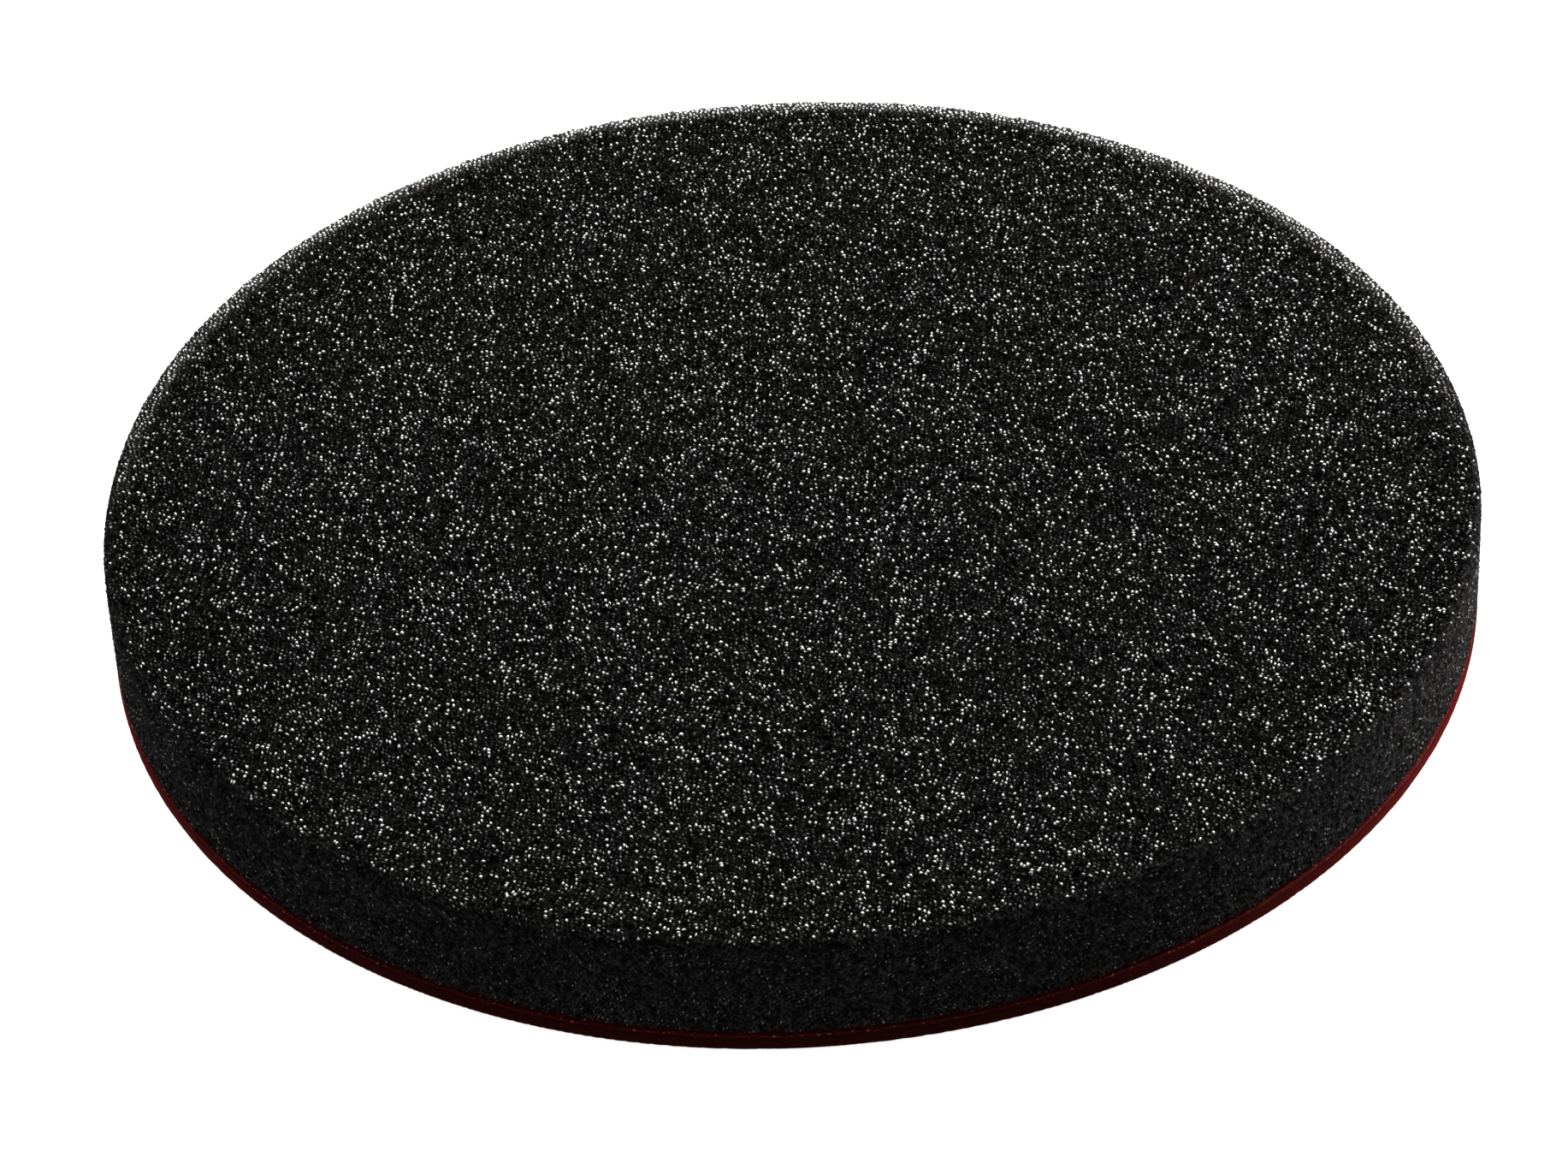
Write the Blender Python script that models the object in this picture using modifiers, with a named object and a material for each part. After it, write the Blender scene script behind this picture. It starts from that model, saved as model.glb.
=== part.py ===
"""Foam polishing pad with a hook-and-loop backing, lying on its backing with the working face up.

Metres, +Z up. The origin is the centre of the loop face, where a backing plate would meet the pad.
Four round layers are laminated face to face and cut as one: loop pile, knitted ground, adhesive
film and foam. A small bond gap keeps the solids of neighbouring layers apart.
"""

import math

import bpy

# Driving dimensions.
PAD_DIAMETER = 0.160
PAD_HEIGHT = 0.015
BOND_GAP = 0.0003

LOOP_PILE_THICKNESS = 0.00145
LOOP_PILE_INSET = 0.0002  # the loops stand a little inside the cut edge of their ground fabric
LOOP_PILE_EDGE_RADIUS = 0.0003

LOOP_GROUND_THICKNESS = 0.00035

ADHESIVE_FILM_THICKNESS = 0.00015
ADHESIVE_FILM_INSET = 0.0006  # the melted film stays back from the cut edge

FOAM_TOP_EDGE_RADIUS = 0.0012
FOAM_TUCK_HEIGHT = 0.0006  # the foam draws in where it is bonded down
FOAM_TUCK_DEPTH = 0.0005

TURNING_STEPS = 144
ARC_STEPS = 6
MERGE_DISTANCE = 1e-6
SHARP_ANGLE = math.radians(35)

# Heights of each layer's underside, stacked up from the loop face.
PAD_RADIUS = PAD_DIAMETER / 2
LOOP_PILE_BASE = 0.0
LOOP_GROUND_BASE = LOOP_PILE_BASE + LOOP_PILE_THICKNESS + BOND_GAP
ADHESIVE_FILM_BASE = LOOP_GROUND_BASE + LOOP_GROUND_THICKNESS + BOND_GAP
FOAM_BASE = ADHESIVE_FILM_BASE + ADHESIVE_FILM_THICKNESS + BOND_GAP

# Linear colours.
FOAM_BLACK = (0.010, 0.010, 0.011)
LOOP_RED = (0.105, 0.006, 0.005)
GROUND_RED = (0.150, 0.013, 0.012)
FILM_BLACK = (0.006, 0.005, 0.005)


def clear_scene():
    for thing in list(bpy.data.objects):
        bpy.data.objects.remove(thing, do_unlink=True)


def make_material(name, colour, roughness, metallic=0.0):
    material = bpy.data.materials.new(name)
    material.use_nodes = True
    shader = material.node_tree.nodes["Principled BSDF"]
    shader.inputs["Base Color"].default_value = (*colour, 1.0)
    shader.inputs["Roughness"].default_value = roughness
    shader.inputs["Metallic"].default_value = metallic
    material.diffuse_color = (*colour, 1.0)
    return material


def edge_arc(centre_x, centre_z, radius, start, end):
    """Points on an arc of the profile, in the XZ plane, with angles in degrees from +X."""
    points = []
    for step in range(ARC_STEPS + 1):
        angle = math.radians(start + (end - start) * step / ARC_STEPS)
        points.append((centre_x + radius * math.cos(angle), centre_z + radius * math.sin(angle)))
    return points


def turn(name, profile, height, material, collection):
    """A solid of revolution from a profile that runs down its outer side, top to bottom."""
    outline = bpy.data.meshes.new(name + "_profile")
    edges = [(i, i + 1) for i in range(len(profile) - 1)]
    outline.from_pydata([(x, 0.0, z) for x, z in profile], edges, [])
    turned = bpy.data.objects.new(name, outline)
    turned.location.z = height
    collection.objects.link(turned)

    screw = turned.modifiers.new("Turn", "SCREW")
    screw.axis = "Z"
    screw.angle = math.tau
    screw.steps = TURNING_STEPS
    screw.render_steps = TURNING_STEPS
    screw.use_merge_vertices = True
    screw.merge_threshold = MERGE_DISTANCE

    # The turned surface becomes the object's own mesh, so that its cut edges can be marked sharp.
    evaluated = turned.evaluated_get(bpy.context.evaluated_depsgraph_get())
    solid = bpy.data.meshes.new_from_object(evaluated)
    turned.modifiers.clear()
    turned.data = solid
    bpy.data.meshes.remove(outline)
    solid.name = name
    solid.shade_smooth()
    solid.set_sharp_from_angle(angle=SHARP_ANGLE)
    solid.materials.append(material)
    return turned


def make_loop_pile(collection):
    """The velour of standing nylon loops that a hook-faced backing plate grips."""
    radius = PAD_RADIUS - LOOP_PILE_INSET
    corner = LOOP_PILE_EDGE_RADIUS
    profile = [(0.0, LOOP_PILE_THICKNESS), (radius, LOOP_PILE_THICKNESS)]
    profile += edge_arc(radius - corner, corner, corner, 0, -90)
    profile.append((0.0, 0.0))
    velour = make_material("nylon_loops", LOOP_RED, 0.9)
    return turn("loop_pile", profile, LOOP_PILE_BASE, velour, collection)


def make_loop_ground(collection):
    """The warp-knitted fabric that the loops stand on, cut flush with the foam."""
    top = LOOP_GROUND_THICKNESS
    profile = [(0.0, top), (PAD_RADIUS, top), (PAD_RADIUS, 0.0), (0.0, 0.0)]
    knit = make_material("knitted_nylon", GROUND_RED, 0.8)
    return turn("loop_ground", profile, LOOP_GROUND_BASE, knit, collection)


def make_adhesive_film(collection):
    """The hot-melt film that bonds the fabric to the foam."""
    radius = PAD_RADIUS - ADHESIVE_FILM_INSET
    top = ADHESIVE_FILM_THICKNESS
    profile = [(0.0, top), (radius, top), (radius, 0.0), (0.0, 0.0)]
    film = make_material("hot_melt_film", FILM_BLACK, 0.5)
    return turn("adhesive_film", profile, ADHESIVE_FILM_BASE, film, collection)


def make_foam_disc(collection):
    """The open-cell polyurethane foam disc, with a crisp rim and a slightly tucked bottom edge."""
    top = PAD_HEIGHT - FOAM_BASE
    corner = FOAM_TOP_EDGE_RADIUS
    profile = [(0.0, top)]
    profile += edge_arc(PAD_RADIUS - corner, top - corner, corner, 90, 0)
    profile.append((PAD_RADIUS, FOAM_TUCK_HEIGHT))
    profile.append((PAD_RADIUS - FOAM_TUCK_DEPTH, 0.0))
    profile.append((0.0, 0.0))
    foam = make_material("polyurethane_foam", FOAM_BLACK, 0.95)
    return turn("foam_disc", profile, FOAM_BASE, foam, collection)


clear_scene()
pad = bpy.data.collections.new("polishing_pad")
bpy.context.scene.collection.children.link(pad)
make_loop_pile(pad)
make_loop_ground(pad)
make_adhesive_film(pad)
make_foam_disc(pad)
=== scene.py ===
import math

import bpy
import numpy as np
from mathutils import Matrix, Vector


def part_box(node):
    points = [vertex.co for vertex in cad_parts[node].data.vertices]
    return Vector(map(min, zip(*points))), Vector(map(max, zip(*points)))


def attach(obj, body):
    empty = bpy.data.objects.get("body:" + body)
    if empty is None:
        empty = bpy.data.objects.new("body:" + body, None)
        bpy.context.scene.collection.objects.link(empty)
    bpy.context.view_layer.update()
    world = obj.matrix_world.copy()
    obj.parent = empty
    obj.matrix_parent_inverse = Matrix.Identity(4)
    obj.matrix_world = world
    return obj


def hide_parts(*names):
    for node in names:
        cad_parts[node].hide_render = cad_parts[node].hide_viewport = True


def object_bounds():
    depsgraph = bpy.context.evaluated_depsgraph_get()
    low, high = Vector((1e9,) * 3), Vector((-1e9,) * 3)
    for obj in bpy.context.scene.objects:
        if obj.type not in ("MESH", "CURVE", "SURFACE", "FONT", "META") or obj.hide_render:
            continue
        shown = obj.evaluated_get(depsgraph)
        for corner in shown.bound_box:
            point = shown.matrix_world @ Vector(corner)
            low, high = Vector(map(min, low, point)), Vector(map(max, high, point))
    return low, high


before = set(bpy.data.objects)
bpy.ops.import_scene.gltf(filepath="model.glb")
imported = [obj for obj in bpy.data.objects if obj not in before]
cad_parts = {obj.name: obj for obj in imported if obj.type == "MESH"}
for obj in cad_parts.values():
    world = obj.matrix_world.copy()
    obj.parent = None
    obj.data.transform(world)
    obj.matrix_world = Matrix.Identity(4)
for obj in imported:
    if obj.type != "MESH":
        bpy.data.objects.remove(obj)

cad_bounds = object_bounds()


# Foam disc.
# A slice off a bun of black open-cell polyurethane foam, die-cut to a circle. Its face and its
# cut wall are a net of broken pores, with strut ends that stand up and carry painted highlights.

MM = 0.001  # a millimetre, in the scene's metres
foam_low, foam_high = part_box("foam_disc")
PAD_RADIUS = (foam_high.x - foam_low.x) / 2
PORE_SPACING = 0.6 * MM  # a fine finishing foam, about 42 pores to the inch
RIM_RADIUS = 1.2 * MM
BEDDING = 0.45 * MM  # the melt soaks the layers together, where the solids keep a clearance
TUCK_HEIGHT = 0.2 * MM  # the wall draws in where the foam is bonded down
TUCK_DEPTH = 0.2 * MM
FACE_PORE_DEPTH = 0.36 * MM
WALL_PORE_DEPTH = 0.28 * MM
PORE_VARIETY = (0.5, 1.25)  # the shallowest and the deepest, as shares of those depths
STRUT_SCATTER = 0.06 * MM  # how far strut ends stand above or below the face
SCATTER_ENDS = (-1.5, 2)  # and the furthest that any do, as shares of that
TIP_RISE = 0.14 * MM  # how much further a glinting one stands up
FACE_SWELL = 0.10 * MM

# Round the rim, with places measured from where the face starts to bend down.
WALL_START = 0.5 * MM
WALL_BLEND = 0.5 * MM  # the width over which the cut wall takes over from the face
WALL_RAG = 0.3 * MM  # how far that line wanders
RIM_FRAY = 0.16 * MM
FRAY_PLACE = 0.6 * MM
FRAY_WIDTH = 0.7 * MM
FAR_RIM_RISE = 0.10 * MM  # how much further the far rim's strut ends stand up, where its highlight is painted in
FAR_RIM_WIDTH = 1.1 * MM
FAR_RIM_FADE = 0.7  # how soon the far rim's painted highlight fades round towards the sides: less is later

# Glints are painted highlights, in shares of white. One over 1 stays white further from its strut end.
GLINTING_SHARE = 0.72  # of the face's standing strut ends
FAINT_GLINT = 0.05  # the dimmest that shows against the black
BRIGHTEST_GLINT = 6
FAR_RIM_GLINT = 24  # the brightest painted glint on the far rim, against the light from behind
GLINT_SPREAD = 0.50  # less makes the rarer ones far brighter
GLINT_CLUSTERING = 0.12  # how unevenly they are strewn over the face
CLUSTER_ENDS = (0.3, 2)  # the sparsest and the densest that this makes them
WALL_GLINT = 0.20  # the painted glints on the cut wall, as a share of those on the face
GLINT_SHARPNESS = 6.0  # how fast a gleam fades away from its strut end
FLUFF_HEIGHT = 0.8 * MM  # how far up the foam the backing's red fluff clings

# Growing cells push their rows about in waves of these periods, by this share of each.
DRIFT_SHARE = 0.035
DRIFT_PERIODS = (2.7, 3.3, 4.1, 5.9, 7.7, 11, 17, 26)
CELL_DRIFTS = [(period * MM, DRIFT_SHARE * period * MM) for period in DRIFT_PERIODS]
DRIFT_FADE = 3 * MM  # they die away this near to the foot, so that it stays round
PORE_JITTER = 0.40  # how far a strut strays from its place in its row, in steps of the lattice

LATTICE_ROW = math.sqrt(3) / 2  # the height of a row of an equilateral lattice
BAKE_MAP = "OFBake"
BAKE_MARGIN = 0.01
CAP_PLACE = 0.915  # the hidden side's place on the map, in the corner that the round side leaves
CAP_SHARE = 0.15  # and its size there, as a share of full size

rng = np.random.default_rng(160)


def waves(at, periods, rng):
    """A smooth random field of about 1 to -1 at the points, from plane waves of these periods."""
    total = np.zeros(at.shape[:-1])
    for period in periods:
        direction = rng.normal(size=at.shape[-1])
        direction /= np.linalg.norm(direction)
        total += np.sin(at @ direction * math.tau / period + rng.uniform(0, math.tau))
    return total / math.sqrt(len(periods))


# The die-cut edge, which all the layers share, wanders from a true circle: how many times round,
# how far, and where it is first furthest out.
CUT_LOBES = ((2, 0.30 * MM, math.radians(98)), (3, 0.17 * MM, math.radians(12)),
             (4, 0.13 * MM, math.radians(194)))


def cut_outline(angle):
    """How far out the cut edge stands from a true circle, at an angle."""
    return sum(size * np.cos(count * angle - turn) for count, size, turn in CUT_LOBES)


def arc(radius_at, height_at, radius, start, end, steps=8):
    """Profile points on an arc about a centre, from one angle to another, in degrees."""
    angles = np.radians(np.linspace(start, end, steps + 1))
    return [(radius_at + radius * math.cos(a), height_at + radius * math.sin(a)) for a in angles]


def along(profile, run):
    """Radius, height and outward normal on a turned profile, at lengths run along it."""
    radii, heights = np.array(profile).T
    marks = np.concatenate([[0], np.cumsum(np.hypot(np.diff(radii), np.diff(heights)))])
    reach = 0.2 * MM  # the normal is taken over this length to each side
    before, after = np.clip(run - reach, 0, marks[-1]), np.clip(run + reach, 0, marks[-1])
    step = np.stack([np.interp(after, marks, side) - np.interp(before, marks, side)
                     for side in (radii, heights)])
    step /= np.linalg.norm(step, axis=0)
    return np.interp(run, marks, radii), np.interp(run, marks, heights), -step[1], step[0]


def lattice(reach, step):
    """A flat round patch of an equilateral lattice: its points, its faces, and each point's kind,
    of which 0 has neighbours of kinds 1 and 2 only, so that kinds 1 and 2 ring it like a pore."""
    rows, columns = int(reach / (step * LATTICE_ROW)) + 1, int(reach / step) + 2
    row, column = np.mgrid[-rows:rows + 1, -columns:columns + 1]
    odd = row % 2
    flat = np.stack([(column + odd / 2) * step, row * step * LATTICE_ROW], axis=-1).reshape(-1, 2)
    kind = ((column - (row - odd) // 2 - row) % 3).ravel()
    number = np.arange(len(flat)).reshape(row.shape)
    here, right = number[:-1, :-1], number[:-1, 1:]
    above, beyond = number[1:, :-1], number[1:, 1:]
    leans = odd[:-1, :-1] == 1
    faces = np.concatenate([
        np.stack([here, right, np.where(leans, beyond, above)], axis=-1).reshape(-1, 3),
        np.stack([np.where(leans, here, right), beyond, above], axis=-1).reshape(-1, 3),
    ])
    inside = np.hypot(*flat.T) <= reach
    used, faces = np.unique(faces[inside[faces].all(axis=1)], return_inverse=True)
    return flat[used], faces.reshape(-1, 3), kind[used]


def open_edges(faces, points):
    """The edges that only one face uses, each in that face's direction."""
    edges = np.concatenate([faces[:, [0, 1]], faces[:, [1, 2]], faces[:, [2, 0]]])
    forward, backward = edges @ [points, 1], edges @ [1, points]
    return edges[~np.isin(forward, backward)]


def make_mesh(name, points, faces, uv, values, flat_faces=0):
    """A mesh from arrays, with a UV for each corner and a value for each point under each name.
    The last flat_faces of its faces meet the rest at a crisp edge."""
    mesh = bpy.data.meshes.new(name)
    mesh.vertices.add(len(points))
    mesh.vertices.foreach_set("co", points.astype(np.float32).ravel())
    mesh.loops.add(faces.size)
    mesh.loops.foreach_set("vertex_index", faces.astype(np.int32).ravel())
    mesh.polygons.add(len(faces))
    mesh.polygons.foreach_set("loop_start", np.arange(0, faces.size, faces.shape[1], dtype=np.int32))
    mesh.update(calc_edges=True)
    mesh.uv_layers.new(name=BAKE_MAP).data.foreach_set("uv", uv.astype(np.float32).ravel())
    for title, value in values.items():
        mesh.attributes.new(title, "FLOAT", "POINT").data.foreach_set("value", value.astype(np.float32))
    mesh.polygons.foreach_set("use_smooth", np.arange(len(faces)) < len(faces) - flat_faces)
    mesh.validate()
    return mesh


def wrap_disc(name, profile, step, relief, rng, jitter, drifts=()):
    """A closed disc: a jittered lattice laid over one face of a turned profile and round its edge,
    and a flat fan over the hidden face. relief gives each point's height and its named values."""
    reach = float(np.hypot(*np.diff(np.array(profile), axis=0).T).sum())
    flat, faces, kind = lattice(reach, step)
    hem = open_edges(faces, len(flat))
    chart = flat / (2 * reach)
    inland = ((reach - np.hypot(*flat.T)) / DRIFT_FADE).clip(0, 1)[:, None]
    for period, size in drifts:
        heading = rng.uniform(0, math.tau)
        across = flat @ [-math.sin(heading), math.cos(heading)]
        slip = size * np.sin(across * math.tau / period + rng.uniform(0, math.tau))
        flat = flat + inland * slip[:, None] * [math.cos(heading), math.sin(heading)]
    flat = flat + rng.uniform(-jitter, jitter, flat.shape) * step
    edge = np.unique(hem)
    flat[edge] *= (reach / np.hypot(*flat[edge].T))[:, None]

    run, angle = np.hypot(*flat.T), np.arctan2(flat[:, 1], flat[:, 0])
    radius, height, outward, upward = along(profile, run)
    facing = math.copysign(1, upward[np.argmin(run)])
    lift, values = relief(flat, run, kind)
    lift[edge] = 0
    radius = radius + outward * facing * lift + cut_outline(angle) * radius / radius.max()
    height = height + upward * facing * lift
    points = np.stack([radius * np.cos(angle), radius * np.sin(angle), height], axis=1)

    centre = len(points)
    points = np.concatenate([points, [[0, 0, height[edge].mean()]]])
    cap = np.column_stack([hem[:, ::-1], np.full(len(hem), centre)])
    spread = np.concatenate([chart, [[0, 0]]]) * (1 - 2 * BAKE_MARGIN)
    uv = np.concatenate([0.5 + spread[faces], CAP_PLACE + CAP_SHARE * spread[cap]])
    faces = np.concatenate([faces, cap])
    if facing < 0:
        faces, uv = faces[:, ::-1], uv[:, ::-1]
    values = {title: np.append(value, 0.0) for title, value in values.items()}
    return make_mesh(name, points, faces, uv.reshape(-1, 2), values, flat_faces=len(cap))


def foam_relief(flat, run, kind):
    """Pores sunk in and strut ends stood up, with the painted highlight of each strut end."""
    face_end = PAD_RADIUS - RIM_RADIUS
    ragged = WALL_RAG * waves(flat, (1.3 * MM, 1.9 * MM, 2.7 * MM, 5.1 * MM), rng)
    wall = np.clip((run + ragged - face_end - WALL_START) / WALL_BLEND, 0, 1)
    fray = np.exp(-(((run - face_end - FRAY_PLACE) / FRAY_WIDTH) ** 2))
    pore, tip = kind == 0, kind == 1
    count = len(flat)
    towards_back = (flat[:, 1] / run.clip(1e-6)).clip(0, 1)
    # The far rim, weighted most towards the back: its painted highlight stands in for the light from
    # behind.
    far_rim_lift_and_highlight = np.exp(-(((run - face_end) / FAR_RIM_WIDTH) ** 2)) * towards_back ** FAR_RIM_FADE

    depth = FACE_PORE_DEPTH * (1 - wall) + WALL_PORE_DEPTH * wall
    sunk = -depth * rng.uniform(*PORE_VARIETY, count)
    stood = STRUT_SCATTER * rng.normal(size=count).clip(*SCATTER_ENDS) * (1 - 0.5 * wall)
    stood = stood + fray * RIM_FRAY * rng.uniform(0, 1, count) ** 3
    swell = FACE_SWELL * waves(flat, (31 * MM, 47 * MM, 66 * MM), rng) * (1 - wall)

    # A few strut ends get a bright painted highlight, as if they lay square to the light, and most of
    # the rest only show.
    clustered = 1 + GLINT_CLUSTERING * waves(flat, (2.1 * MM, 3.7 * MM, 6.3 * MM, 9.7 * MM), rng)
    rank = rng.uniform(0, 1, count) / (GLINTING_SHARE * clustered.clip(*CLUSTER_ENDS))
    painted_glint = np.where(tip & (rank < 1), FAINT_GLINT * rank.clip(1e-3) ** (-1 / GLINT_SPREAD), 0)
    painted_glint = painted_glint.clip(0, BRIGHTEST_GLINT) * (1 - wall + WALL_GLINT * wall)
    # The far rim's strut ends get painted glints of their own.
    far_rim_painted_glint = FAR_RIM_GLINT * far_rim_lift_and_highlight ** 2 * rng.uniform(0, 1, count) ** 1.3
    painted_glint = np.maximum(painted_glint, np.where(tip, far_rim_painted_glint, 0)) ** (1 / GLINT_SHARPNESS)
    stood = stood + TIP_RISE * painted_glint.clip(0, 1) + FAR_RIM_RISE * far_rim_lift_and_highlight * tip * rng.uniform(0, 1, count)
    # Pores get no strut tone. Their black is partly the foam's own black and partly painted shade.
    strut = np.where(pore, 0, rng.uniform(0, 1, count) ** (1 + 0.6 * wall))
    bend = RIM_RADIUS * math.pi / 2
    # The far rim also takes the cut wall's paler skin, as painted light.
    cut_wall_and_painted_rim_light = np.maximum(((run - face_end) / (1.3 * bend)).clip(0, 1), far_rim_lift_and_highlight)
    foot = ((run + ragged - run.max()) / FLUFF_HEIGHT + 1).clip(0, 1) * rng.uniform(0.3, 1, count)
    return np.where(pore, sunk, stood) + swell, {
        "strut": strut, "painted_glint": painted_glint, "cut_wall_and_painted_rim_light": cut_wall_and_painted_rim_light, "foot": foot}


def linear(code):
    """An sRGB hex colour as linear RGBA."""
    parts = [int(code[at:at + 2], 16) / 255 for at in (1, 3, 5)]
    return (*(p / 12.92 if p <= 0.04045 else ((p + 0.055) / 1.055) ** 2.4 for p in parts), 1.0)


def add_node(tree, kind, inputs=None, **settings):
    """Adds a node with these settings. inputs gives each socket a value, or a socket to link."""
    made = tree.nodes.new(kind)
    for name, value in settings.items():
        setattr(made, name, value)
    for name, value in (inputs or {}).items():
        if isinstance(value, bpy.types.NodeSocket):
            tree.links.new(value, made.inputs[name])
        else:
            made.inputs[name].default_value = value
    return made


MIX_FIRST, MIX_SECOND, MIX_RESULT = 6, 7, 2  # the colour sockets of a mix node


def blend(tree, share, first, second, **settings):
    """The colour that goes from the first to the second as the share goes from 0 to 1."""
    made = add_node(tree, "ShaderNodeMix", {
        "Factor": share, MIX_FIRST: first, MIX_SECOND: second}, data_type="RGBA", **settings)
    return made.outputs[MIX_RESULT]


def new_material(name):
    """An empty Principled material: itself, its node tree and its shader."""
    material = bpy.data.materials.new(name)
    material.use_nodes = True
    return material, material.node_tree, material.node_tree.nodes["Principled BSDF"]


# Polyurethane foam, blown and reticulated, dyed through. Its pores swallow light, and their black
# is partly painted shade. Its strut skins are faintly satin, and its glints are painted highlights.
foam, tree, shader = new_material("open_cell_polyurethane")
strut = add_node(tree, "ShaderNodeAttribute", attribute_name="strut").outputs["Fac"]
painted_glint = add_node(tree, "ShaderNodeAttribute", attribute_name="painted_glint").outputs["Fac"]
cut_wall_and_painted_rim_light = add_node(tree, "ShaderNodeAttribute", attribute_name="cut_wall_and_painted_rim_light").outputs["Fac"]
foot = add_node(tree, "ShaderNodeAttribute", attribute_name="foot").outputs["Fac"]
place = add_node(tree, "ShaderNodeTexCoord").outputs["Object"]
grain = add_node(tree, "ShaderNodeTexNoise", {
    "Vector": place, "Scale": 1 / (0.25 * MM), "Detail": 2.0, "Roughness": 0.6})
# Struts are lighter and pores black. The pores' black is partly painted shade.
lit = add_node(tree, "ShaderNodeMath", {0: strut, 1: grain.outputs["Fac"]}, operation="MULTIPLY")
face_skin = blend(tree, lit.outputs[0], linear("#000000"), linear("#201f1e"))
wall_skin = blend(tree, lit.outputs[0], linear("#111010"), linear("#5c5a59"))
# The cut wall's paler skin. On the far rim this is painted light.
speckled = blend(tree, cut_wall_and_painted_rim_light, face_skin, wall_skin)
painted_flash = add_node(tree, "ShaderNodeMath", {0: painted_glint, 1: GLINT_SHARPNESS}, operation="POWER")
fluffy = blend(tree, foot, speckled, linear("#340907"))
# Painted highlights: the glinting strut ends are painted white into the base colour.
tipped = blend(tree, painted_flash.outputs[0], fluffy, linear("#dddcda"), clamp_factor=True)
shine = add_node(tree, "ShaderNodeMapRange", {
    "Value": strut, "To Min": 0.95, "To Max": 0.55})
bumps = add_node(tree, "ShaderNodeBump", {
    "Height": grain.outputs["Fac"], "Distance": 0.05 * MM, "Strength": 0.8})
tree.links.new(tipped, shader.inputs["Base Color"])
tree.links.new(shine.outputs["Result"], shader.inputs["Roughness"])
tree.links.new(bumps.outputs["Normal"], shader.inputs["Normal"])
shader.inputs["Specular IOR Level"].default_value = 0.0


def add_piece(mesh, material):
    """Puts a mesh in the scene as an object of its own name, made of this material."""
    mesh.materials.append(material)
    piece = bpy.data.objects.new(mesh.name, mesh)
    bpy.context.collection.objects.link(piece)
    return piece


foam_foot = foam_low.z - BEDDING
foam_profile = [(0, foam_high.z), (PAD_RADIUS - RIM_RADIUS, foam_high.z)]
foam_profile += arc(PAD_RADIUS - RIM_RADIUS, foam_high.z - RIM_RADIUS, RIM_RADIUS, 90, 0)
foam_profile += [(PAD_RADIUS, foam_foot + TUCK_HEIGHT), (PAD_RADIUS - TUCK_DEPTH, foam_foot)]
foam_mesh = wrap_disc("foam_body", foam_profile, PORE_SPACING / math.sqrt(3), foam_relief, rng,
                      PORE_JITTER, CELL_DRIFTS)
foam_body = add_piece(foam_mesh, foam)
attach(foam_body, "root")
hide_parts("foam_disc")


# Adhesive film.
# A web of polyurethane hot melt that bonds the fabric to the foam. It stays back from the cut
# edge, where a dark groove shows it.

film_low, film_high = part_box("adhesive_film")
FILM_RADIUS = film_high.x
FILM_CREEP = 0.15 * MM  # how far the melt has crept in and out along its edge
FILM_ROUND = 0.05 * MM  # the cut edge of the film is rounded by this
RIM_STEPS = 4320
LID_SHARE = 0.85  # of the round part of the map; the turned edge takes the rest


def turn_disc(name, profile, relief):
    """A closed disc turned from a profile that runs from the axis round the edge and back to it.
    relief gives how far each point stands out and up, from its angle and its place across the
    edge, from 0 at the top to 1 at the bottom."""
    inner = np.array(profile[1:-1])
    angle = np.linspace(0, math.tau, RIM_STEPS, endpoint=False)
    ring = np.arange(len(inner))
    turned, ringed = np.meshgrid(angle, ring)
    out, up = relief(turned, ringed / ring[-1])
    radius = inner[:, :1] + cut_outline(turned) + out
    height = np.broadcast_to(inner[:, 1:] + up, radius.shape)
    points = np.stack([radius * np.cos(turned), radius * np.sin(turned), height], axis=-1)
    number = ringed * RIM_STEPS + np.arange(RIM_STEPS)
    here, onward = number, np.roll(number, -1, axis=1)
    band = np.concatenate([
        np.stack([here[:-1], here[1:], onward[1:]], axis=-1).reshape(-1, 3),
        np.stack([here[:-1], onward[1:], onward[:-1]], axis=-1).reshape(-1, 3)])
    top, bottom = number.size, number.size + 1
    lid = np.stack([here[0], onward[0], np.full(RIM_STEPS, top)], axis=-1)
    base = np.stack([onward[-1], here[-1], np.full(RIM_STEPS, bottom)], axis=-1)
    ends = [(0, 0, profile[0][1]), (0, 0, profile[-1][1])]
    points = np.concatenate([points.reshape(-1, 3), ends])
    faces = np.concatenate([band, lid, base])

    # On the map the lid fills the middle, the band rings it, and the base goes in a corner.
    share = 0.5 - BAKE_MARGIN
    out = np.concatenate([np.linspace(LID_SHARE, 1, len(ring)).repeat(RIM_STEPS), [0, 0]]) * share
    turned_out = np.append(turned.ravel(), [0, 0])
    place = np.stack([out * np.cos(turned_out), out * np.sin(turned_out)], axis=1)
    uv = 0.5 + place[faces]
    uv[-RIM_STEPS:] = CAP_PLACE + CAP_SHARE * place[base]
    return make_mesh(name, points, faces, uv.reshape(-1, 2), {})


# Hot-melt film, cast and melted once. Black and slightly glossy where the foam lets it show.
film, tree, shader = new_material("hot_melt_film")
place = add_node(tree, "ShaderNodeTexCoord").outputs["Object"]
flow = add_node(tree, "ShaderNodeTexNoise", {"Vector": place, "Scale": 1 / (1.5 * MM), "Detail": 3.0})
tone = blend(tree, flow.outputs["Fac"], linear("#050404"), linear("#151011"))
shine = add_node(tree, "ShaderNodeMapRange", {
    "Value": flow.outputs["Fac"], "To Min": 0.5, "To Max": 0.7})
tree.links.new(tone, shader.inputs["Base Color"])
tree.links.new(shine.outputs["Result"], shader.inputs["Roughness"])
shader.inputs["Specular IOR Level"].default_value = 0.1


def film_relief(angle, across):
    """The wandering edge of the melt."""
    around = np.stack([np.cos(angle), np.sin(angle)], axis=-1) * PAD_RADIUS
    return FILM_CREEP * waves(around, (4 * MM, 7 * MM, 11 * MM), rng), 0


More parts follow.
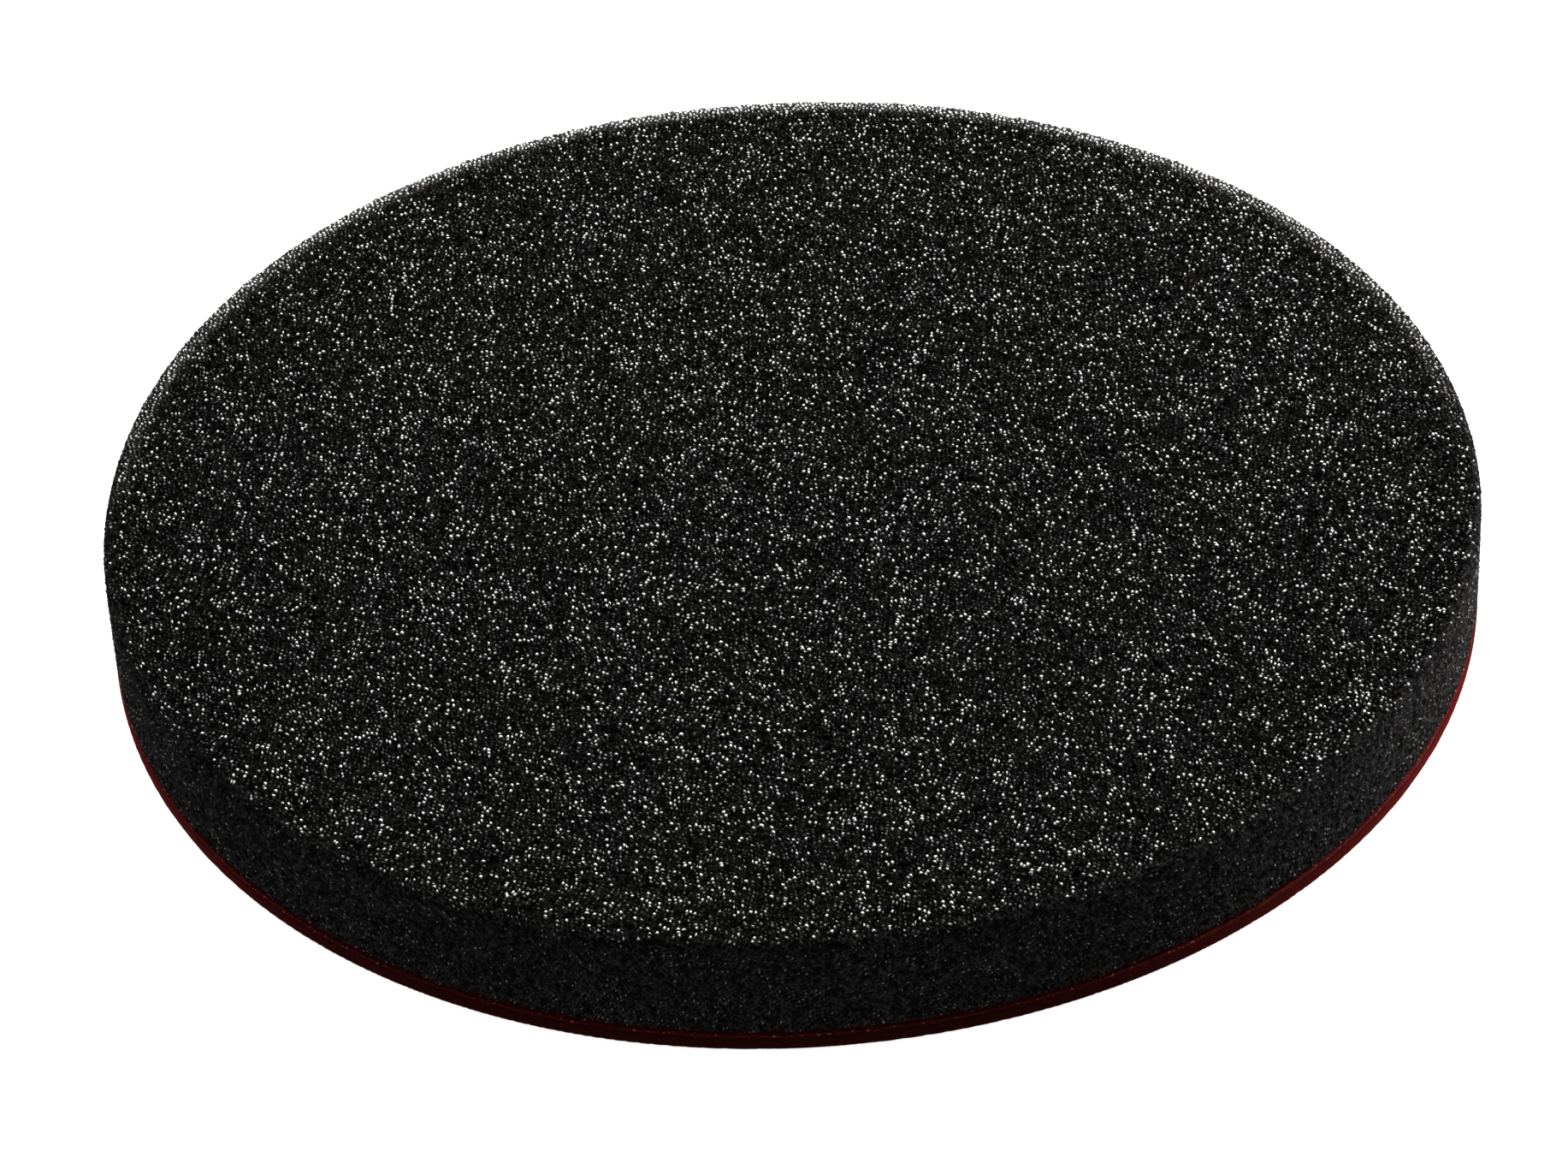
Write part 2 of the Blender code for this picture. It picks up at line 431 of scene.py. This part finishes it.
film_foot = film_low.z - BEDDING
film_profile = [(0, film_high.z), (FILM_RADIUS - FILM_ROUND, film_high.z),
                (FILM_RADIUS, (film_high.z + film_low.z) / 2),
                (FILM_RADIUS - FILM_ROUND, film_foot), (0, film_foot)]
film_mesh = turn_disc("melt_film", film_profile, film_relief)
melt_film = add_piece(film_mesh, film)
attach(melt_film, "root")
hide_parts("adhesive_film")


# Knitted ground.
# Warp-knitted red nylon that carries the loops. It was cut with the foam, and its cut edge is
# the thin paler line round the foot of the pad, a little proud of the layers above and below.

ground_low, ground_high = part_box("loop_ground")
GROUND_RADIUS = ground_high.x
COURSE_SPACING = 0.8 * MM  # the knit's courses, which end in a small knot each at the cut edge
KNOT = 0.05 * MM
KNOT_DRIFT = 2  # how far the knots stray from even spacing, in radians of a course
EDGE_WAVER = 0.06 * MM


def ground_relief(angle, across):
    """Knots where the blade cut the courses, coming and going round an edge that wavers."""
    around = np.stack([np.cos(angle), np.sin(angle)], axis=-1) * PAD_RADIUS
    drift = KNOT_DRIFT * waves(around, (9 * MM, 23 * MM), rng)
    course = angle * round(math.tau * PAD_RADIUS / COURSE_SPACING) + drift
    knots = 0.5 + 0.5 * np.cos(course)
    strength = (0.6 + 0.6 * waves(around, (1.9 * MM, 3.1 * MM, 5.3 * MM), rng)).clip(0, 1.5)
    waver = waves(around, (0.7 * MM, 1.1 * MM, 1.7 * MM, 6.1 * MM), rng)
    middle = np.sin(across * math.pi)
    lifted = waves(around, (0.6 * MM, 0.9 * MM, 1.3 * MM, 4.3 * MM), rng)
    return (KNOT * knots * strength + 0.5 * EDGE_WAVER * waver) * middle, EDGE_WAVER * lifted * middle


# Dyed nylon yarn, knitted and heat-set. Matt, with the cut yarn ends a shade paler than the
# pile, and here and there a fibre end that shows as a pale fleck.
knit, tree, shader = new_material("warp_knitted_nylon")
place = add_node(tree, "ShaderNodeTexCoord").outputs["Object"]
yarns = add_node(tree, "ShaderNodeTexVoronoi", {"Vector": place, "Scale": 1 / COURSE_SPACING})
fuzz = add_node(tree, "ShaderNodeTexNoise", {"Vector": place, "Scale": 1 / (0.3 * MM), "Detail": 3.0})
ends = add_node(tree, "ShaderNodeTexNoise", {"Vector": place, "Scale": 1 / (0.35 * MM), "Detail": 0.0})
yarn = blend(tree, yarns.outputs["Distance"], linear("#601412"), linear("#2a0706"))
worn = blend(tree, fuzz.outputs["Fac"], linear("#2c0807"), yarn)
fleck = add_node(tree, "ShaderNodeMapRange", {
    "Value": ends.outputs["Fac"], "From Min": 0.70, "From Max": 0.80, "To Max": 0.7})
flecked = blend(tree, fleck.outputs["Result"], worn, linear("#9a6a68"))
bumps = add_node(tree, "ShaderNodeBump", {
    "Height": yarns.outputs["Distance"], "Distance": 0.08 * MM, "Strength": 0.7})
tree.links.new(flecked, shader.inputs["Base Color"])
tree.links.new(bumps.outputs["Normal"], shader.inputs["Normal"])
shader.inputs["Roughness"].default_value = 0.85
shader.inputs["Specular IOR Level"].default_value = 0.05
shader.inputs["Sheen Weight"].default_value = 0.9
shader.inputs["Sheen Roughness"].default_value = 0.45
shader.inputs["Sheen Tint"].default_value = linear("#b83c34")

ground_half = (ground_high.z - ground_low.z) / 2
ground_profile = [(0, ground_high.z)]
ground_profile += arc(GROUND_RADIUS - ground_half, ground_low.z + ground_half, ground_half, 90, -90, 10)
ground_profile += [(0, ground_low.z)]
ground_mesh = turn_disc("knit_ground", ground_profile, ground_relief)
knit_ground = add_piece(ground_mesh, knit)
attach(knit_ground, "root")
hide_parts("loop_ground")


# Loop pile.
# Nylon loops drawn out of the ground fabric and brushed, so that they mat into a velour which a
# backing plate's hooks grip. Seen from the side it is a smooth dark red band.

pile_low, pile_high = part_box("loop_pile")
PILE_RADIUS = pile_high.x
PILE_FLARE = 0.30 * MM  # how far the brushed filaments splay out past the cut
LOOP_SPACING = 1.3 * MM
LOOP_WIDTH = 0.34 * MM  # half of a loop's width at its foot
LOOP_LEAN = 0.6  # the most, in radians
LOOP_STRAY = 0.3  # from even spacing, as a share of it
YARN_RADIUS = 0.06 * MM
YARN_SIDES = 3
YARN_STEPS = 6
MAT_HEIGHT = 0.32 * MM  # the matted filaments start this far above the tips of the loops
RIM_CRUSH = 0.28 * MM  # and this much lower at the cut edge, where the blade crushed the loops
CRUSH_WIDTH = 1.6 * MM
MAT_EDGE = 0.35 * MM
MAT_STEP = 0.4 * MM
MAT_RELIEF = 0.06 * MM
MAT_JITTER = 0.12  # how far a lump strays from its place, in steps of the lattice
EDGE_CALM = 0.93  # the share of that relief which the crush at the cut edge takes away
MAT_OVERLAP = 0.7  # how far up the ground fabric the pile's filaments reach, in its half thickness
EDGE_TAPER = 0.05 * MM  # how far the flared filaments draw back in above the cut edge, in two steps


def mat_relief(flat, run, kind):
    """The matted filaments' lumps, almost gone round the cut edge."""
    lumps = waves(flat, (1.1 * MM, 1.6 * MM, 2.3 * MM), rng)
    scatter = rng.normal(size=len(flat)).clip(-2, 2)
    edge = np.clip((run - PILE_RADIUS + CRUSH_WIDTH) / CRUSH_WIDTH, 0, 1)
    lift = MAT_RELIEF * (0.5 * lumps + 0.5 * scatter) * (1 - EDGE_CALM * edge)
    return lift, {"tip": 0.5 + 0.25 * scatter}


# Nylon velour, brushed. Dark red, matt face on, with a soft sheen along its edge where the fine
# filaments stand against the light.
velour, tree, shader = new_material("brushed_nylon_velour")
tip = add_node(tree, "ShaderNodeAttribute", attribute_name="tip").outputs["Fac"]
place = add_node(tree, "ShaderNodeTexCoord").outputs["Object"]
strands = add_node(tree, "ShaderNodeTexNoise", {
    "Vector": place, "Scale": 1 / (0.35 * MM), "Detail": 4.0, "Roughness": 0.65})
nap = add_node(tree, "ShaderNodeTexNoise", {"Vector": place, "Scale": 1 / (9 * MM), "Detail": 2.0})
pile = blend(tree, strands.outputs["Fac"], linear("#1b0403"), linear("#2d0705"))
tipped = blend(tree, tip, pile, linear("#330a08"))
shaded = blend(tree, nap.outputs["Fac"], tipped, pile)
bumps = add_node(tree, "ShaderNodeBump", {
    "Height": strands.outputs["Fac"], "Distance": 0.1 * MM, "Strength": 0.5})
tree.links.new(shaded, shader.inputs["Base Color"])
tree.links.new(bumps.outputs["Normal"], shader.inputs["Normal"])
shader.inputs["Roughness"].default_value = 0.9
shader.inputs["Specular IOR Level"].default_value = 0.05
shader.inputs["Sheen Weight"].default_value = 0.45
shader.inputs["Sheen Roughness"].default_value = 0.4
shader.inputs["Sheen Tint"].default_value = linear("#c0281f")

mat_bottom = pile_low.z + MAT_HEIGHT
mat_top = ground_low.z + MAT_OVERLAP * ground_half
flared = PILE_RADIUS + PILE_FLARE
mat_profile = [(0, mat_bottom), (PILE_RADIUS - CRUSH_WIDTH, mat_bottom),
               (PILE_RADIUS - 0.6 * CRUSH_WIDTH, mat_bottom - 0.8 * RIM_CRUSH)]
mat_profile += arc(flared - MAT_EDGE, mat_bottom - RIM_CRUSH + MAT_EDGE, MAT_EDGE, -90, 0, 5)
mat_profile += [(flared - EDGE_TAPER, pile_high.z), (flared - 2 * EDGE_TAPER, mat_top)]
mat_mesh = wrap_disc("velour_mat", mat_profile, MAT_STEP, mat_relief, rng, MAT_JITTER)
velour_mat = add_piece(mat_mesh, velour)
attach(velour_mat, "root")
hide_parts("loop_pile")


def make_loops(name):
    """Every standing loop: an arch of three-sided yarn that leans at random, feet in the mat."""
    feet, _, _ = lattice(PILE_RADIUS - CRUSH_WIDTH, LOOP_SPACING)
    feet = feet + rng.uniform(-LOOP_STRAY, LOOP_STRAY, feet.shape) * LOOP_SPACING
    count = len(feet)
    turn = rng.uniform(0, math.tau, count)
    across = np.stack([np.cos(turn), np.sin(turn), np.zeros(count)], axis=1)
    aside = np.stack([-np.sin(turn), np.cos(turn), np.zeros(count)], axis=1)
    lean = rng.uniform(-LOOP_LEAN, LOOP_LEAN, count)
    down = np.array([0, 0, -1]) * np.cos(lean)[:, None] + aside * np.sin(lean)[:, None]
    bend = np.linspace(0, math.pi, YARN_STEPS + 1)
    width = LOOP_WIDTH * rng.uniform(0.7, 1.3, count)
    root = mat_bottom + 2 * MAT_RELIEF
    reach = root - pile_low.z - YARN_RADIUS
    height = (reach / np.cos(lean)) * rng.uniform(0.85, 1.0, count)

    sweep = (across[:, None] * (width[:, None] * np.cos(bend))[..., None]
             + down[:, None] * (height[:, None] * np.sin(bend))[..., None])
    path = sweep + np.concatenate([feet, np.full((count, 1), root)], axis=1)[:, None]
    ahead = (across[:, None] * (-width[:, None] * np.sin(bend))[..., None]
             + down[:, None] * (height[:, None] * np.cos(bend))[..., None])
    ahead /= np.linalg.norm(ahead, axis=-1, keepdims=True)
    beside = np.cross(across, down)
    upper = np.cross(ahead, beside[:, None])
    round_yarn = np.arange(YARN_SIDES) * math.tau / YARN_SIDES
    ring = (beside[:, None, None] * np.cos(round_yarn)[:, None]
            + upper[:, :, None] * np.sin(round_yarn)[:, None]) * YARN_RADIUS
    points = (path[:, :, None] + ring).reshape(-1, 3)
    out = np.hypot(points[:, 0], points[:, 1])
    points[:, :2] *= (out.clip(0, PILE_RADIUS) / out)[:, None]

    number = np.arange(count * (YARN_STEPS + 1) * YARN_SIDES).reshape(count, YARN_STEPS + 1, YARN_SIDES)
    beyond = np.roll(number, -1, axis=2)
    faces = np.stack([number[:, :-1], number[:, 1:], beyond[:, 1:], beyond[:, :-1]], axis=-1)

    # Each loop's faces lie as a small strip at the loop's own place on the map.
    step, side = np.meshgrid(np.arange(YARN_STEPS), np.arange(YARN_SIDES), indexing="ij")
    strip = np.stack([np.stack([step, step + 1, step + 1, step], axis=-1) / YARN_STEPS,
                      np.stack([side, side, side + 1, side + 1], axis=-1) / YARN_SIDES], axis=-1)
    cell = 0.7 * LOOP_SPACING * (strip - 0.5)
    uv = 0.5 + (feet[:, None, None, None] + cell) / (2 * PAD_RADIUS) * (1 - 2 * BAKE_MARGIN)
    tips = np.repeat(rng.uniform(0.3, 1, count), (YARN_STEPS + 1) * YARN_SIDES)
    return make_mesh(name, points, faces.reshape(-1, 4), uv.reshape(-1, 2), {"tip": tips})


loops_mesh = make_loops("velour_loops")
velour_loops = add_piece(loops_mesh, velour)
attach(velour_loops, "root")


# Floor.
# A plain pale studio table, a board faced with white laminate. The pad lies loose on it.

FLOOR_SIZE = 12.0
TABLE_GLOW = 0.9
FLOOR_DROP = 0.05 * MM  # so that the tips of the loops never share its plane

# White laminate, matt and evenly lit. It shows pure white with no shadow, and it throws no light
# up onto the pad's wall.
pale, tree, shader = new_material("matt_white_laminate")
place = add_node(tree, "ShaderNodeTexCoord").outputs["Object"]
mottle = add_node(tree, "ShaderNodeTexNoise", {"Vector": place, "Scale": 6.0, "Detail": 2.0})
tone = blend(tree, mottle.outputs["Fac"], linear("#bcbcbc"), linear("#c0c0c0"))
tree.links.new(tone, shader.inputs["Base Color"])
shader.inputs["Roughness"].default_value = 0.9
shader.inputs["Specular IOR Level"].default_value = 0.1
shader.inputs["Emission Color"].default_value = (1, 1, 1, 1)
shader.inputs["Emission Strength"].default_value = TABLE_GLOW
floor_mesh = bpy.data.meshes.new("floor")
half = FLOOR_SIZE / 2
floor_mesh.from_pydata([(-half, -half, 0), (half, -half, 0), (half, half, 0), (-half, half, 0)],
                       [], [(0, 1, 2, 3)])
floor_mesh.materials.append(pale)
floor = bpy.data.objects.new("floor", floor_mesh)
floor.location.z = pile_low.z - FLOOR_DROP
floor.visible_diffuse = False
floor.visible_glossy = False
bpy.context.collection.objects.link(floor)


# Studio light.
# Soft boxes behind the pad, the stronger on the right, with a low one straight behind that
# catches the far rim, a wide one overhead, and a dim pale room.

LIGHTS = [
    # name, azimuth from +X towards +Y and elevation in degrees, distance, size, watts
    ("key_box", 31, 36, 1.2, 0.7, 31),
    ("left_box", 140, 40, 1.3, 0.6, 6.5),
    ("top_box", 90, 80, 1.1, 1.0, 6.0),
    ("back_box", 100, 9, 1.2, 0.5, 16.0),
]
ROOM_GLOW = 0.3


def aim(thing, target, roll=0.0):
    """Turns a light or a camera to face a point, rolled about its own axis by an angle."""
    facing = (Vector(target) - thing.location).to_track_quat("-Z", "Y").to_matrix()
    thing.rotation_euler = (facing @ Matrix.Rotation(roll, 3, "Z")).to_euler()


for name, azimuth, elevation, distance, size, watts in LIGHTS:
    lamp = bpy.data.lights.new(name, "AREA")
    lamp.shape = "SQUARE"
    lamp.size = size
    lamp.energy = watts
    box = bpy.data.objects.new(name, lamp)
    turn, rise = math.radians(azimuth), math.radians(elevation)
    box.location = distance * Vector((math.cos(rise) * math.cos(turn),
                                      math.cos(rise) * math.sin(turn), math.sin(rise)))
    aim(box, (0, 0, 0))
    bpy.context.collection.objects.link(box)

room = bpy.data.worlds.new("studio_room")
bpy.context.scene.world = room
room.use_nodes = True
tree = room.node_tree
seen = add_node(tree, "ShaderNodeLightPath").outputs["Is Camera Ray"]
glow = add_node(tree, "ShaderNodeMapRange", {"Value": seen, "To Min": ROOM_GLOW, "To Max": 1.0})
tree.links.new(glow.outputs["Result"], tree.nodes["Background"].inputs["Strength"])
tree.nodes["Background"].inputs["Color"].default_value = (1, 1, 1, 1)
bpy.context.scene.view_settings.view_transform = "Standard"


# Camera.
# A long lens from the front, well above the pad and held a little tilted, so that the pad shows
# its whole face, its front wall and the red edge under it.

CAMERA_RISE = math.radians(38.01)
CAMERA_ROLL = math.radians(-2.74)
CAMERA_DISTANCE = 8.5 * PAD_RADIUS
LENS_MM = 133.4
SENSOR_MM = 36.0
PAD_OFF_CENTRE = Vector((0.88 * MM, 4.89 * MM))  # where the pad's middle shows, right and up

middle = Vector((0, 0, (cad_bounds[0].z + cad_bounds[1].z) / 2))
lens = bpy.data.cameras.new("camera")
lens.lens = LENS_MM
lens.sensor_width = SENSOR_MM
lens.clip_start = 0.01
camera = bpy.data.objects.new("camera", lens)
camera.location = middle + CAMERA_DISTANCE * Vector((0, -math.cos(CAMERA_RISE), math.sin(CAMERA_RISE)))
aim(camera, middle, CAMERA_ROLL)
held = camera.rotation_euler.to_matrix()
aim(camera, middle - held @ Vector((*PAD_OFF_CENTRE, 0)), CAMERA_ROLL)
bpy.context.collection.objects.link(camera)
bpy.context.scene.camera = camera
